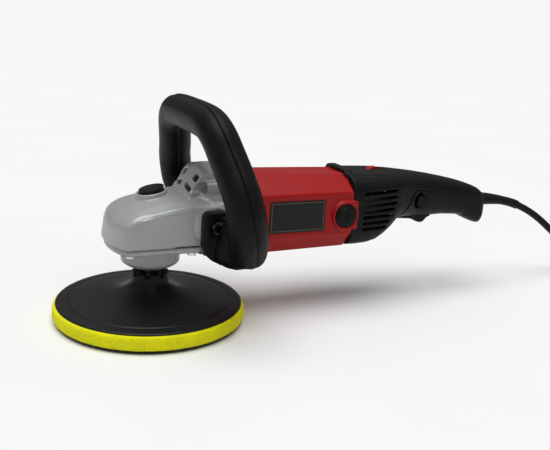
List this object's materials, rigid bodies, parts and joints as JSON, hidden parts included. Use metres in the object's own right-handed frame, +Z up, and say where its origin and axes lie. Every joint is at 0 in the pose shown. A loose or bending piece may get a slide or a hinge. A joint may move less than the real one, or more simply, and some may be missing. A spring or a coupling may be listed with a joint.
{
  "type": "rotary polisher",
  "caption": "Corded rotary polisher with loop handle, hook backing pad, two-stage gearbox, universal motor, trigger grip and speed thumbwheel.",
  "frame": {"origin": "centre of the pad's hook face, on the spindle axis", "axes": "+Z up the spindle, +X towards the rear handle, +Y to the tool's right-hand side"},
  "size_m": [0.746, 0.2474, 0.2086],
  "materials": {
    "hook_fabric": "woven hook",
    "yellow_foam": "fine closed foam",
    "pad_rubber": "satin moulded",
    "zinc_steel": "zinc plated",
    "gear_steel": "ground",
    "bearing_steel": "polished",
    "cast_alloy": "die cast, satin lacquer",
    "spring_steel": "drawn",
    "lamination_steel": "stacked laminations",
    "copper_wire": "enamelled copper",
    "copper": "turned copper",
    "fan_plastic": "moulded",
    "red_plastic": "satin moulded",
    "black_plastic": "fine grain",
    "black_grip": "satin grain",
    "black_steel": "black oxide",
    "brass_holder": "pressed",
    "carbon": "graphite",
    "label_film": "printed film",
    "potting": "resin",
    "lead_insulation": "PVC",
    "cord_rubber": "smooth",
    "brass_pins": "nickel plated"
  },
  "bodies": {
    "housing": {"spindle_bearing": "bearing_steel", "spindle_top_bearing": "bearing_steel", "bearing_box": "cast_alloy", "bearing_box_screws": "zinc_steel", "gear_housing": "cast_alloy", "gear_housing_screws": "zinc_steel", "gear_plate": "cast_alloy", "spindle_lock_spring": "spring_steel", "intermediate_bearings": "bearing_steel", "armature_bearings": "bearing_steel", "fan_baffle": "black_plastic", "stator_core": "lamination_steel", "field_coils": "copper_wire", "motor_housing": "red_plastic", "brush_holders": "brass_holder", "carbon_brushes": "carbon", "brush_springs": "spring_steel", "brush_caps": "black_plastic", "nameplates": "label_film", "loop_handle_front": "black_grip", "loop_handle_rear": "black_grip", "loop_handle_bolts": "black_steel", "loop_handle_screws": "black_steel", "rear_handle_left": "black_plastic", "rear_handle_right": "black_plastic", "rear_handle_screws": "black_steel", "trigger_pin": "zinc_steel", "speed_controller": "potting", "switch_body": "black_plastic", "switch_leads": "lead_insulation", "cord_clamp": "black_plastic", "cord_clamp_screws": "zinc_steel", "cord_guard": "cord_rubber", "power_cord": "cord_rubber", "cord_coil": "cord_rubber", "coil_tie": "black_plastic", "plug_body": "cord_rubber", "plug_pins": "brass_pins"},
    "spindle_assembly": {"spindle": "gear_steel", "pad_hook_layer": "hook_fabric", "pad_foam": "yellow_foam", "pad_plate": "pad_rubber", "pad_insert": "zinc_steel", "bevel_ring_gear": "gear_steel"},
    "intermediate": {"intermediate_shaft": "gear_steel", "helical_gear": "gear_steel", "bevel_pinion": "gear_steel"},
    "armature": {"armature_shaft": "gear_steel", "armature_pinion": "gear_steel", "armature_core": "lamination_steel", "armature_windings": "copper_wire", "commutator": "copper", "fan": "fan_plastic"},
    "spindle_lock": {"spindle_lock_button": "black_plastic"},
    "paddle": {"trigger": "black_plastic"},
    "lock_on": {"lock_button": "black_plastic"},
    "dial": {"speed_dial": "red_plastic"}
  },
  "joints": [
    {"name": "armature_spin", "type": "hinge", "parent": "housing", "child": "armature", "pos_m": [0.1, 0, 0.101], "axis": [1, 0, 0], "continuous": true},
    {"name": "intermediate_spin", "type": "hinge", "parent": "housing", "child": "intermediate", "pos_m": [0.04, 0, 0.08885], "axis": [1, 0, 0], "continuous": true},
    {"name": "spindle_spin", "type": "hinge", "parent": "housing", "child": "spindle_assembly", "pos_m": [0, 0, 0.05], "axis": [0, 0, 1], "continuous": true},
    {"name": "spindle_lock_press", "type": "slide", "parent": "housing", "child": "spindle_lock", "axis": [0, 0, -1], "range_m": [0, 0.0046], "stiffness_N_per_m": 900, "springref_m": -0.003, "deforming": ["spindle_lock_spring"]},
    {"name": "trigger_squeeze", "type": "hinge", "parent": "housing", "child": "paddle", "pos_m": [0.264, 0, 0.093], "axis": [0, -1, 0], "range_deg": [0, 7], "stiffness_Nm_per_rad": 0.8, "springref_deg": -8.59},
    {"name": "lock_on_press", "type": "slide", "parent": "housing", "child": "lock_on", "axis": [0, 1, 0], "range_m": [0, 0.003], "stiffness_N_per_m": 500, "springref_m": -0.002},
    {"name": "speed_dial_turn", "type": "hinge", "parent": "housing", "child": "dial", "pos_m": [0.2355, 0, 0.1288], "axis": [0, 1, 0], "range_deg": [-130, 130]}
  ],
  "couplings": [
    {"joint": "intermediate_spin", "follows": "armature_spin", "ratio": -0.42105},
    {"joint": "spindle_spin", "follows": "armature_spin", "ratio": -0.11483}
  ]
}
